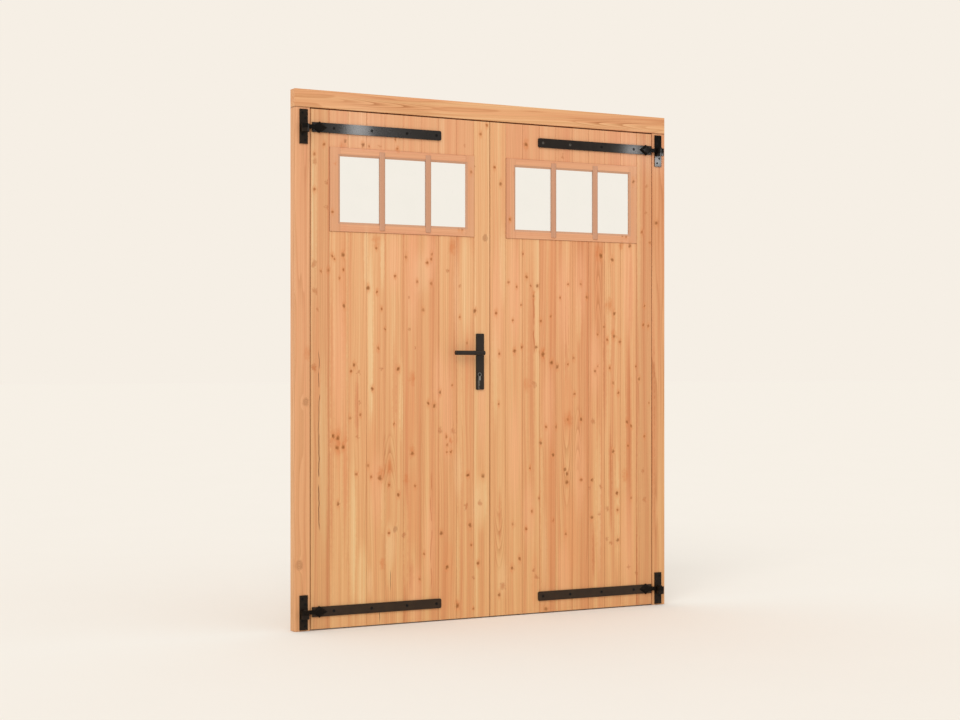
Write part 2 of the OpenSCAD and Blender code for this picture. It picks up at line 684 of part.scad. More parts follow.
inner_lever();
spindle();
latch_bolt();
dead_bolt();
cylinder_core();
top_bolt();
bottom_bolt();
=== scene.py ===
"""Looks of the double ledged door: softwood boards, window sashes, frame, black hinges and lever, clear glass."""

import math

import bpy
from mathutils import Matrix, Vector


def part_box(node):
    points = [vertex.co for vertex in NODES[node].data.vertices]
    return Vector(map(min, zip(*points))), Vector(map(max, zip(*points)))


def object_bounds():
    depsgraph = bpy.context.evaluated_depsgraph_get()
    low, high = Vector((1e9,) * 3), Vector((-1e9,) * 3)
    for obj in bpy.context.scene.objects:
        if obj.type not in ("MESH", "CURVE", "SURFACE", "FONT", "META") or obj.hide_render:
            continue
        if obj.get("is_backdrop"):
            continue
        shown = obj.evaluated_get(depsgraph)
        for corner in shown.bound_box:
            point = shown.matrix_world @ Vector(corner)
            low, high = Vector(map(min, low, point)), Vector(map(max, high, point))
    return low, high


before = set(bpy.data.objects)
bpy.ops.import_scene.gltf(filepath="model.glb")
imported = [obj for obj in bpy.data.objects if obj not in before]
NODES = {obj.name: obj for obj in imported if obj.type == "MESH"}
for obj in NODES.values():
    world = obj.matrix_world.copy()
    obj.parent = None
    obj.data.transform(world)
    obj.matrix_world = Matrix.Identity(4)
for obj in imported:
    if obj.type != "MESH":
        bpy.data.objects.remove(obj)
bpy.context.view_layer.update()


# ---------------------------------------------------------------- colours and node helpers
def lin(r, g, b, k=1.0):
    """An 8-bit display colour as linear light, times k."""
    out = []
    for v in (r, g, b):
        v /= 255.0
        out.append(k * (v / 12.92 if v <= 0.04045 else ((v + 0.055) / 1.055) ** 2.4))
    return (*out, 1.0)


class Tree:
    """A material's node tree, built by short calls. Inputs are sockets, numbers, vectors or colours."""

    def __init__(self, name):
        self.material = bpy.data.materials.new(name)
        self.material.use_nodes = True
        self.nodes = self.material.node_tree.nodes
        self.links = self.material.node_tree.links
        self.nodes.clear()

    def put(self, socket, value):
        if isinstance(value, bpy.types.NodeSocket):
            self.links.new(value, socket)
        elif value is not None:
            socket.default_value = value

    def math(self, op, a, b=None, c=None, clamp=False):
        n = self.nodes.new("ShaderNodeMath")
        n.operation, n.use_clamp = op, clamp
        for s, v in zip(n.inputs, (a, b, c)):
            self.put(s, v)
        return n.outputs[0]

    def vec(self, op, a, b=None, c=None):
        n = self.nodes.new("ShaderNodeVectorMath")
        n.operation = op
        for s, v in zip(n.inputs, (a, b, c)):
            self.put(s, v)
        return n.outputs["Value" if op in ("LENGTH", "DOT_PRODUCT", "DISTANCE") else "Vector"]

    def xyz(self, x, y, z):
        n = self.nodes.new("ShaderNodeCombineXYZ")
        for s, v in zip(n.inputs, (x, y, z)):
            self.put(s, v)
        return n.outputs[0]

    def split(self, v):
        n = self.nodes.new("ShaderNodeSeparateXYZ")
        self.put(n.inputs[0], v)
        return n.outputs

    def place(self):
        """The point's place in the door's own frame, in metres."""
        return self.nodes.new("ShaderNodeTexCoord").outputs["Object"]

    def noise(self, v, detail=2.0, rough=0.5, scale=1.0, colour=False):
        n = self.nodes.new("ShaderNodeTexNoise")
        self.put(n.inputs["Vector"], v)
        n.inputs["Scale"].default_value = scale
        n.inputs["Detail"].default_value = detail
        n.inputs["Roughness"].default_value = rough
        return n.outputs["Color" if colour else "Fac"]

    def cells(self, v, scale=1.0):
        n = self.nodes.new("ShaderNodeTexVoronoi")
        n.feature = "F1"
        self.put(n.inputs["Vector"], v)
        n.inputs["Scale"].default_value = scale
        return n.outputs["Distance"], n.outputs["Color"]

    def step(self, v, lo, hi, a=0.0, b=1.0):
        """Smooth step from a at lo to b at hi."""
        n = self.nodes.new("ShaderNodeMapRange")
        n.interpolation_type = "SMOOTHSTEP"
        for s, x in zip(n.inputs, (v, lo, hi, a, b)):
            self.put(s, x)
        return n.outputs[0]

    def ramp(self, fac, stops):
        n = self.nodes.new("ShaderNodeValToRGB")
        self.put(n.inputs[0], fac)
        e = n.color_ramp.elements
        while len(e) < len(stops):
            e.new(0.5)
        for el, (p, c) in zip(e, sorted(stops)):
            el.position, el.color = p, c
        return n.outputs[0]

    def mix(self, fac, a, b, blend="MIX"):
        n = self.nodes.new("ShaderNodeMix")
        n.data_type, n.blend_type = "RGBA", blend
        self.put(n.inputs[0], fac)
        self.put(n.inputs[6], a)
        self.put(n.inputs[7], b)
        return n.outputs[2]

    def bump(self, height, strength, distance):
        n = self.nodes.new("ShaderNodeBump")
        n.inputs["Strength"].default_value = strength
        n.inputs["Distance"].default_value = distance
        self.put(n.inputs["Height"], height)
        return n.outputs[0]

    def finish(self, **sockets):
        p = self.nodes.new("ShaderNodeBsdfPrincipled")
        for k, v in sockets.items():
            self.put(p.inputs[k.replace("_", " ")], v)
        o = self.nodes.new("ShaderNodeOutputMaterial")
        self.links.new(p.outputs[0], o.inputs[0])
        return self.material


# ---------------------------------------------------------------- what grows in the wood
# All places are in millimetres: X from the door's left outer edge, Z above the floor, then a radius.
KNOTS = [
    # left leaf, hinge board and the boards beside it
    (214, 1524, 7.3), (165, 1519, 5.7), (174, 1507, 4.6), (147, 1461, 6.1), (116, 1456, 4.9), (214, 1463, 4), (198, 1430, 3.9),
    (326, 1392, 6.8), (367, 1376, 5.1), (450, 1444, 5.2), (363, 1558, 5.3), (218, 1316, 6.7), (386, 1307, 5.2), (404, 1224, 4.4),
    (372, 1145, 6.1), (263, 1075, 6.7), (250, 1051, 5.5), (464, 1059, 6.5), (345, 978, 6.7), (128, 1971, 5.7), (86, 1930, 5.7),
    (86, 1785, 6.2), (224, 1990, 6.7), (303, 1979, 7.3), (331, 1974, 4.2), (452, 2010, 3.9), (461, 1974, 4.3), (855, 2058, 5.7),
    (884, 2097, 5.4),
    # left leaf, under the window towards the lock
    (622, 1541, 6.1), (618, 1520, 5.4), (599, 1503, 6.1), (501, 1525, 6.1), (552, 1422, 5.6), (618, 1417, 6.1), (580, 1306, 6.1),
    (755, 1279, 4), (826, 1305, 7.1), (789, 1169, 5.5), (660, 962, 6.7), (717, 991, 4.2), (603, 916, 6.7), (632, 904, 6.8),
    # left leaf, lower half
    (169, 786, 7.3), (191, 777, 7.8), (187, 737, 8.2), (214, 740, 6.7), (191, 508, 6.7), (245, 858, 6.1), (292, 872, 5.2),
    (272, 628, 5.3), (381, 609, 8.9), (326, 660, 6.3), (340, 616, 5.3), (422, 579, 5), (464, 538, 6.5), (422, 380, 5.4),
    (445, 831, 4.2), (529, 709, 6.8), (689, 773, 5.1), (693, 739, 5.6), (712, 709, 5.4), (693, 709, 4.2), (543, 571, 5.3),
    (794, 610, 6.4), (866, 603, 8.4), (803, 397, 7.3), (665, 369, 6.7), (808, 312, 4.3), (585, 285, 5.4), (693, 225, 6.6),
    (842, 234, 6.6), (564, 182, 5.2), (741, 58, 8.3), (818, 42, 3.5),
    # right leaf, upper half
    (930, 1298, 6.1), (944, 1123, 5.8), (1021, 1136, 6.6), (1056, 1154, 5.1), (991, 1432, 4.8), (1063, 1555, 4.2),
    (1031, 1412, 4.8), (1081, 1456, 5.7), (1101, 1417, 4.6), (1133, 1418, 6.7), (1116, 1375, 6.3), (1128, 1154, 6.7),
    (1153, 1267, 6.1), (1053, 1335, 3.9), (1013, 1269, 4.5), (1163, 1124, 8.7), (1207, 1086, 8), (1234, 1068, 6.7),
    (1250, 1368, 4.6), (1204, 1289, 4.2), (1290, 1430, 4), (1290, 1081, 4.7), (1319, 1107, 6.1), (1324, 949, 5.2),
    (1461, 1558, 9), (1519, 1542, 6.9), (1614, 1607, 7.1), (1678, 1672, 6), (1721, 1624, 5.1), (1357, 1432, 5.4),
    (1388, 1375, 5.9), (1529, 1305, 6.7), (1692, 1341, 4.9), (1686, 1256, 6.1), (1711, 1252, 6.1), (1529, 1205, 7.3),
    (1561, 1179, 5.9), (1493, 1187, 6.2), (1445, 1211, 5), (1477, 1245, 5.1), (1078, 2027, 8), (922, 1921, 5.4), (951, 1851, 6.7),
    # right leaf, middle
    (944, 909, 4.6), (1178, 807, 5.3), (1229, 806, 6.1), (1290, 840, 5.9), (1153, 738, 6.4), (1430, 1050, 6.7),
    (1443, 1072, 4.3), (1508, 1063, 5.3), (1524, 997, 6.1), (1553, 952, 5.6), (1662, 1014, 6.7), (1646, 1072, 3.9),
    (1716, 906, 4.4), (1357, 839, 6.7), (1598, 823, 6.9), (1620, 805, 5.9), (1604, 716, 5.7), (1692, 757, 5.1),
    # right leaf, lower half
    (1214, 685, 7.1), (1098, 633, 5), (1275, 620, 7.1), (1285, 600, 6.7), (1285, 565, 7.5), (1143, 500, 5.3),
    (1108, 445, 5.5), (1013, 393, 6), (1078, 369, 5.5), (1046, 241, 7), (1009, 204, 7.1), (1524, 695, 6.7), (1357, 572, 6.2),
    (1414, 570, 6.9), (1545, 508, 7.2), (1548, 433, 6.3), (1620, 484, 5.8), (1414, 407, 7), (1548, 300, 7.3), (1178, 17, 7.3),
    (944, 92, 7), (1280, 338, 5.4),
    # frame and window stiles
    (1754, 1715, 7.3), (806, 1894, 5.9), (1629, 1893, 6.7), (747, 1651, 4.3), (763, 1649, 5.5), (1572, 1651, 4.3),
    (1591, 1647, 5.5), (164, 1698, 5), (996, 1700, 5.1),
]
FAINT = [
    (103, 1302, 6), (386, 1059, 4), (87, 1063, 9), (517, 1225, 5), (755, 1414, 6), (696, 1472, 6), (543, 1146, 5),
    (290, 923, 6), (87, 1375, 9), (517, 1357, 5), (286, 1042, 7), (281, 780, 6),
    (660, 798, 9), (722, 801, 9), (782, 477, 8), (852, 487, 9), (818, 172, 5), (491, 369, 6), (87, 1900, 8),
    (140, 1815, 6), (140, 1717, 6), (380, 1978, 5), (779, 2003, 5), (1700, 1875, 6), (1697, 1757, 6), (1677, 1671, 6),
    (1262, 1986, 7), (1419, 828, 9), (1118, 994, 9), (1399, 535, 6), (1461, 542, 6), (1493, 439, 7), (1451, 419, 6),
    (1493, 307, 7), (1514, 288, 6), (1609, 177, 6), (1646, 148, 6), (1118, 190, 7), (1133, 158, 9), (1680, 600, 9),
    (1690, 470, 9), (1214, 402, 6), (825, 1921, 4), (1645, 1918, 4), (964, 130, 12), (85, 1484, 10),
]
# grey-brown branch knots with rings
OLD = [(20, 269, 15), (47, 925, 13), (876, 1617, 12), (450, 395, 10)]
RED = [
    (190, 762, 34), (425, 655, 26), (386, 628, 20), (390, 253, 15), (363, 1590, 17), (717, 1573, 20), (529, 1021, 17),
    (214, 752, 15), (227, 768, 9), (160, 770, 9), (712, 755, 9), (501, 599, 14), (529, 716, 17), (741, 62, 12),
    (1503, 1342, 22), (1081, 990, 20), (1588, 592, 17), (1588, 570, 10), (1163, 1124, 19), (1214, 402, 11),
    (1290, 840, 24), (209, 1971, 10), (461, 1974, 10), (179, 1900, 7), (1016, 1895, 8), (1569, 1606, 14),
    (1447, 1570, 22), (54, 1123, 17), (1529, 1205, 16), (1078, 2027, 15), (87, 1063, 10), (1116, 1390, 9),
]
# strips of one tone: X, Z, half width, half length
STRAW = [
    (336, 1220, 17, 430), (318, 1520, 14, 170), (392, 1500, 11, 130), (478, 930, 9, 190), (128, 700, 22, 420),
    (395, 500, 11, 150), (256, 380, 20, 330), (422, 290, 18, 150), (785, 1420, 45, 260), (860, 500, 30, 130),
    (300, 190, 28, 170), (746, 260, 8, 220), (85, 1680, 12, 330),
    (1158, 430, 8, 470), (962, 1500, 17, 190), (1346, 1300, 14, 140), (1506, 1300, 9, 300), (1447, 560, 14, 300),
    (1545, 440, 14, 300), (1658, 480, 9, 420), (1659, 1640, 10, 420), (925, 1050, 16, 250), (752, 900, 14, 640),
    (500, 330, 11, 230),
]
SALMON = [
    (216, 1380, 20, 330), (190, 900, 18, 300), (345, 700, 20, 190), (525, 1500, 30, 170), (520, 880, 26, 190),
    (532, 480, 24, 200), (700, 200, 26, 170), (790, 1090, 10, 150), (226, 640, 10, 220), (100, 1080, 14, 300),
    (1208, 1430, 24, 300), (1203, 500, 26, 420), (1300, 330, 40, 240), (1440, 1430, 14, 240), (1120, 150, 16, 150),
    (1290, 880, 30, 180),
]
RUST = [
    (165, 820, 9, 760), (220, 900, 13, 740), (446, 980, 10, 230), (276, 900, 12, 140), (1102, 960, 22, 680), (948, 420, 11, 140),
    (1482, 1060, 11, 310), (1606, 700, 22, 560), (1620, 1400, 12, 220), (1284, 1200, 11, 320), (1424, 260, 11, 130),
    (1116, 1250, 6, 190), (1738, 800, 10, 560), (528, 180, 11, 90), (1510, 560, 10, 260),
]
PALE = [
    (430, 330, 28, 95), (745, 620, 24, 120), (335, 180, 14, 70), (1452, 420, 11, 340), (570, 1460, 50, 100), (738, 1380, 16, 230),
    (962, 170, 28, 90), (1172, 260, 12, 220), (840, 480, 30, 120),
]
PINK = [
    (195, 1100, 34, 330), (445, 1500, 34, 130), (530, 1440, 36, 240), (612, 1520, 34, 130), (655, 1010, 30, 140), (695, 880, 30, 240),
    (365, 560, 34, 170), (610, 330, 30, 210), (545, 120, 34, 140), (860, 900, 22, 240),
    (935, 1330, 32, 300), (1020, 1390, 36, 250), (1270, 1360, 36, 240), (1352, 1430, 32, 190), (1430, 1090, 30, 170), (1605, 1450, 36, 260),
    (1190, 900, 32, 200), (1020, 700, 34, 260), (1350, 620, 32, 220), (1270, 170, 34, 160), (1600, 300, 34, 260), (1090, 430, 32, 160),
]
# dark lines along the grain: X, lowest Z, highest Z, half width, strength, colour
SPLIT, RESIN = (88, 44, 20), (182, 100, 56)
CRACKS = [
    (106, 414, 800, 1.5, 0.85, SPLIT), (106, 800, 1125, 1.0, 0.85, SPLIT), (618, 145, 620, 1.6, 0.55, RESIN), (427, 150, 225, 1.0, 0.7, SPLIT),
    (381, 20, 60, 1.2, 0.8, SPLIT), (1116, 1137, 1375, 2.8, 0.62, RESIN),
]
# where flat-sawn grain makes arches: X, Z of the tip, half width, length, +1 opening downwards
ARCHES = [(425, 780, 34, 240, 1), (944, 215, 30, 260, -1), (1446, 1590, 26, 420, 1), (1285, 470, 30, 420, -1), (1340, 880, 26, 300, 1)]
# the same in the head: X of the tip, Z, half width, length, +1 opening to the right
HEAD_ARCHES = [(1330, 2146, 22, 420, 1), (620, 2152, 20, 460, -1)]


# ---------------------------------------------------------------- wood
TONES = [
    (0.00, lin(202, 130, 87)), (0.22, lin(217, 152, 108)), (0.44, lin(225, 170, 123)), (0.62, lin(229, 181, 134)),
    (0.82, lin(234, 198, 153)), (1.00, lin(238, 213, 174)),
]


def near(features, x0, x1, z0, z1, reach=2.6):
    """The features that can show in a piece, with their places as listed, in millimetres in the door's frame."""
    out = []
    for f in features:
        r = f[2] * reach
        if x0 - r <= f[0] <= x1 + r and z0 - r <= f[1] <= z1 + r:
            out.append(f)
    return out


def wood(name, node, grain="z", board=None, seed=0.0, tone=0.0, stripe=1.0, level=1.0, turn_above=None, turn_below=None,
         angle=0.0, wild=0.0, pink=0.0, wave=1.0, rings=125.0, swirl=5.0, figure=1.0, edge=0.0, drift=0.0, tint=(226, 160, 124), joint=0.0):
    """Planed softwood. grain is the axis that the fibres follow; board = (first joint, width) splits the piece into boards."""
    t = Tree(name)
    p = t.place()
    sx, sy, sz = t.split(p)
    if grain == "z":
        c, a = sx, sz
    elif grain == "x":
        c, a = sz, sx
    else:  # along a sloping piece
        co, si = math.cos(angle), math.sin(angle)
        a = t.math("ADD", t.math("MULTIPLY", sx, co), t.math("MULTIPLY", sz, si))
        c = t.math("SUBTRACT", t.math("MULTIPLY", sz, co), t.math("MULTIPLY", sx, si))
    if turn_above is not None:  # a set of pieces whose upper and lower members lie flat
        f = t.math("GREATER_THAN", sz, turn_above)
        if turn_below is not None:
            f = t.math("MAXIMUM", f, t.math("LESS_THAN", sz, turn_below))
        a = t.math("MULTIPLY_ADD", f, t.math("SUBTRACT", sx, sz), sz)
        c = t.math("MULTIPLY_ADD", f, t.math("SUBTRACT", sz, sx), sx)
    lo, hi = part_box(node)
    box = (lo[0] * 1000 + 900, hi[0] * 1000 + 900, lo[2] * 1000, hi[2] * 1000)

    if board:
        index = t.math("FLOOR", t.math("MULTIPLY_ADD", sx, 1 / board[1], -board[0] / board[1]))
        off = t.math("MULTIPLY_ADD", index, 3.173, seed)
        n = t.nodes.new("ShaderNodeTexWhiteNoise")
        n.noise_dimensions = "1D"
        t.put(n.inputs["W"], off)
        own = n.outputs["Value"]
    else:
        off, own = seed, None
    depth = t.math("MULTIPLY_ADD", sy, 20.0, off)

    # the grain wanders a little along its length, and parts round each knot
    wander = t.noise(t.xyz(t.math("MULTIPLY", c, 6.0), depth, t.math("MULTIPLY", a, 1.6)), 2.0)
    if drift:  # the fibres run out of the piece at a small angle
        c = t.math("MULTIPLY_ADD", a, -drift, c)
    cg = t.math("MULTIPLY_ADD", t.math("SUBTRACT", wander, 0.5), 0.020 * wave, c)

    rough = t.noise(p, 2.0, 0.6, 70.0, colour=True)
    q = t.vec("MULTIPLY_ADD", t.vec("SUBTRACT", rough, (0.5, 0.5, 0.5)), (0.013, 0.0, 0.013), p)
    ragged = t.vec("MULTIPLY_ADD", t.vec("SUBTRACT", rough, (0.5, 0.5, 0.5)), (0.034, 0.0, 0.040), p)

    def nearest(features, stretch=1.0, q=q):
        r = None
        for f in features:
            x, z, w = (f[0] - 900) / 1000, f[1] / 1000, f[2] / 1000
            h = w * (f[3] if len(f) > 3 else stretch)
            d = t.vec("LENGTH", t.vec("MULTIPLY_ADD", q, (1 / w, 0, 1 / h), (-x / w, 0, -z / h)))
            r = d if r is None else t.math("MINIMUM", r, d)
        return r

    def strips(features):
        r = None
        for x, z, w, h in features:
            x, z, w, h = (x - 900) / 1000, z / 1000, w / 1000, h / 1000
            d = t.vec("LENGTH", t.vec("MULTIPLY_ADD", q, (1 / w, 0, 1 / h), (-x / w, 0, -z / h)))
            r = d if r is None else t.math("MINIMUM", r, d)
        return r

    knots = near(KNOTS, *box, reach=4.5)
    tail = nearest(knots, 2.2)
    dark = nearest([k for k in knots if k[2] < 6.4], 1.12)
    large = nearest([k for k in knots if k[2] >= 6.4], 1.15)
    faint = nearest(near(FAINT, *box), 1.25, ragged)
    old = nearest(near(OLD, *box), 1.3)
    red = nearest(near(RED, *box, reach=2.6), 1.8, ragged)

    def strip_near(features):
        return [f for f in features if box[0] - f[2] <= f[0] <= box[1] + f[2] and box[2] - f[3] <= f[1] <= box[3] + f[3]]

    straw, salmon, rust, pale, rosy = (strips(strip_near(k)) for k in (STRAW, SALMON, RUST, PALE, PINK))

    for r, amount, reach in ((dark, 0.009, 3.4), (large, 0.013, 3.4), (faint, 0.006, 2.4), (old, 0.012, 3.0)):
        if r is not None:
            k = t.math("SUBTRACT", 1.0, t.math("DIVIDE", r, reach), clamp=True)
            cg = t.math("MULTIPLY_ADD", t.math("MULTIPLY", k, k), amount, cg)

    # broad strips, finer strips, year rings, fibres
    broad = t.noise(t.xyz(t.math("MULTIPLY", cg, 34.0), depth, t.math("MULTIPLY", a, 0.35)), 2.0, 0.55)
    narrow = t.noise(t.xyz(t.math("MULTIPLY", cg, 120.0), depth, t.math("MULTIPLY", a, 0.7)), 3.0, 0.65)
    pins = t.noise(t.xyz(t.math("MULTIPLY", cg, 320.0), depth, t.math("MULTIPLY", a, 1.8)), 3.0, 0.6)
    swell = t.noise(t.xyz(t.math("MULTIPLY", c, 16.0), depth, t.math("MULTIPLY", a, 0.6)), 2.0)
    years = t.math("MULTIPLY_ADD", swell, swirl, t.math("MULTIPLY", cg, rings))
    saw = t.math("FRACT", years)
    late = t.math("MULTIPLY", t.math("POWER", saw, 3.0), t.step(saw, 1.0, 0.93))
    for x, z, w, h, way in HEAD_ARCHES if node == "head" else ARCHES:
        if grain in "xz" and box[0] < x < box[1] and box[2] < z < box[3] + 50:
            if grain == "z":
                u = t.math("MULTIPLY_ADD", cg, 1000.0 / w, (900.0 - x) / w)
                v = t.math("MULTIPLY_ADD", sz, -way * 1000.0 / h, way * z / h)  # 0 at the tip, 1 at the open end
            else:
                u = t.math("MULTIPLY_ADD", t.math("MULTIPLY_ADD", t.math("SUBTRACT", wander, 0.5), 0.020 * wave, sz), 1000.0 / w, -z / w)
                v = t.math("MULTIPLY_ADD", sx, way * 1000.0 / h, way * (900.0 - x) / h)
            arch = t.math("SUBTRACT", t.math("MULTIPLY", v, 3.4), t.math("MULTIPLY", t.math("MULTIPLY", u, u), 2.5))
            inside = t.math("MULTIPLY", t.step(t.math("ABSOLUTE", u), 1.15, 0.7), t.math("MULTIPLY", t.step(v, -0.15, 0.15), t.step(v, 1.10, 0.60)))
            saw = t.math("FRACT", arch)
            bow = t.math("MULTIPLY", t.math("MULTIPLY", t.math("POWER", saw, 1.8), t.step(saw, 1.0, 0.93)), 1.9)
            late = t.math("MULTIPLY_ADD", inside, t.math("SUBTRACT", bow, late), late)
    fibre = t.noise(t.xyz(t.math("MULTIPLY", cg, 1500.0), t.math("MULTIPLY", sy, 1500.0), t.math("MULTIPLY", a, 45.0)), 2.0, 0.6)

    x = t.math("MULTIPLY_ADD", t.math("SUBTRACT", broad, 0.5), 1.0 * stripe, 0.47 + tone)
    x = t.math("MULTIPLY_ADD", t.math("SUBTRACT", narrow, 0.5), 0.60 * stripe, x)
    if own is not None:
        x = t.math("MULTIPLY_ADD", t.math("SUBTRACT", own, 0.5), 0.16, x)
    if straw is not None:
        x = t.math("MULTIPLY_ADD", t.step(straw, 1.2, 0.5), 0.24, x)
    if salmon is not None:
        salmon = t.step(salmon, 1.2, 0.5)
        x = t.math("MULTIPLY_ADD", salmon, -0.08, x)
    if rust is not None:
        x = t.math("MULTIPLY_ADD", t.step(rust, 1.25, 0.4), -0.26, x)
    x = t.math("MULTIPLY_ADD", late, -0.16 * stripe * figure, x)
    colour = t.ramp(x, TONES)
    if salmon is not None:
        colour = t.mix(t.math("MULTIPLY", salmon, 0.42), colour, lin(226, 158, 112))
    if pale is not None:
        colour = t.mix(t.math("MULTIPLY", t.step(pale, 1.25, 0.3), 0.40), colour, lin(237, 194, 152))
    if rosy is not None:
        colour = t.mix(t.math("MULTIPLY", t.step(rosy, 1.25, 0.4), 0.42), colour, lin(240, 178, 139))
    if pink:
        colour = t.mix(pink, colour, lin(*tint))

    # a little darker and more saturated towards the floor
    low = t.step(sz, 1.7, 0.0)
    colour = t.mix(t.math("MULTIPLY", low, 0.55), colour, (0.87, 0.88, 0.72, 1.0), "MULTIPLY")
    # pores and late wood
    shade = t.math("MULTIPLY_ADD", pins, -0.27, 1.135)
    shade = t.math("MULTIPLY_ADD", late, -0.10 * stripe * figure, shade)
    shade = t.math("MULTIPLY_ADD", fibre, -0.10, t.math("ADD", shade, 0.05))
    shade = t.math("MULTIPLY", shade, level)
    deeper = t.math("MULTIPLY_ADD", shade, 1.5, -0.5 * level)  # dark fibres are also redder
    colour = t.mix(1.0, colour, t.xyz(shade, shade, deeper), "MULTIPLY")

    if red is not None:
        streaks = t.step(narrow, 0.36, 0.62, 0.68, 0.34)
        colour = t.mix(t.math("MULTIPLY", t.step(red, 1.3, 0.1), streaks), colour, lin(202, 120, 68))
    if faint is not None:
        colour = t.mix(t.math("MULTIPLY", t.step(faint, 1.5, 0.3), 0.58), colour, lin(182, 112, 66))
        ring = t.math("SUBTRACT", 1.0, t.math("MULTIPLY", t.math("ABSOLUTE", t.math("SUBTRACT", faint, 1.0)), 4.0), clamp=True)
        colour = t.mix(t.math("MULTIPLY", ring, 0.14), colour, lin(146, 86, 48))
    if old is not None:
        ring = t.step(t.math("ABSOLUTE", t.math("SUBTRACT", t.math("FRACT", t.math("MULTIPLY", old, 3.0)), 0.5)), 0.15, 0.45)
        core = t.mix(ring, lin(186, 134, 92), lin(156, 106, 68))
        colour = t.mix(t.math("MULTIPLY", t.step(old, 1.25, 0.75), 0.62), colour, core)
    if tail is not None:
        vary = t.noise(p, 1.0, 0.5, 19.0)  # some knots show more, some less
        colour = t.mix(t.math("MULTIPLY", t.step(tail, 2.3, 0.4), t.step(vary, 0.35, 0.65, 0.30, 0.60)), colour, lin(210, 136, 84))
        for r, inner, outer, least, most in ((dark, (150, 87, 37), (176, 109, 53), 0.58, 0.84), (large, (126, 74, 28), (162, 103, 47), 0.72, 0.88)):
            if r is not None:
                ring = t.step(t.math("ABSOLUTE", t.math("SUBTRACT", t.math("FRACT", t.math("MULTIPLY", r, 1.6)), 0.5)), 0.1, 0.45)
                core = t.mix(ring, lin(*inner), lin(*outer))
                colour = t.mix(t.math("MULTIPLY", t.step(r, 1.40, 0.40), t.step(vary, 0.35, 0.62, least, most)), colour, core)
    if wild:  # knots of the pieces that have none listed
        d, rnd = t.cells(t.xyz(t.math("MULTIPLY", c, 9.0), depth, t.math("MULTIPLY", a, 3.2)))
        pick = t.split(rnd)[0]
        size = t.step(pick, 1.0 - wild, 1.0, 0.0, 0.07)
        k = t.math("SUBTRACT", size, d)
        colour = t.mix(t.math("MULTIPLY", t.step(k, -0.09, 0.0), 0.35), colour, lin(204, 122, 70))
        colour = t.mix(t.math("MULTIPLY", t.step(k, 0.0, 0.02), 0.85), colour, lin(118, 66, 32))
    for x0, z0, z1, w, strength, paint_in in CRACKS:
        if grain == "z" and box[0] < x0 < box[1] and z1 > box[2] and z0 < box[3]:
            way = t.noise(t.xyz(3.0 + x0, t.math("MULTIPLY", sz, 9.0), 0.0), 2.0)
            d = t.math("ABSOLUTE", t.math("SUBTRACT", t.math("MULTIPLY_ADD", t.math("SUBTRACT", way, 0.5), 0.022, sx), (x0 - 900) / 1000))
            gap = t.noise(t.xyz(t.math("MULTIPLY", sz, 14.0), 7.0 + x0, 0.0), 1.0)
            m = t.math("MULTIPLY", t.step(d, w * 1.7e-3, w * 0.7e-3), t.step(gap, 0.36, 0.5))
            m = t.math("MULTIPLY", m, t.math("MULTIPLY", t.step(sz, z0 / 1000 - 0.02, z0 / 1000 + 0.02), t.step(sz, z1 / 1000 + 0.02, z1 / 1000 - 0.02)))
            colour = t.mix(t.math("MULTIPLY", m, strength), colour, lin(*paint_in))

    if joint:  # the open joint at the upper end
        m = t.step(sz, hi[2] - 0.0055, hi[2] - 0.0020)
        colour = t.mix(t.math("MULTIPLY", m, joint), colour, lin(122, 76, 46))
    if edge:  # painted shade: the splays round the glass, picked by the slope of their normal, are coloured darker and greyer than the faces
        side = t.math("ABSOLUTE", t.split(t.nodes.new("ShaderNodeTexCoord").outputs["Normal"])[1])
        m = t.math("MULTIPLY", t.step(side, 0.985, 0.93), t.step(side, 0.30, 0.60))
        colour = t.mix(t.math("MULTIPLY", m, edge), colour, lin(190, 148, 122))

    height = t.math("MULTIPLY_ADD", late, 0.5, fibre)
    return t.finish(
        Base_Color=colour,
        Roughness=t.math("MULTIPLY_ADD", fibre, 0.22, 0.48),
        Specular_IOR_Level=0.28,
        Normal=t.bump(height, 0.22, 0.0005),
    )


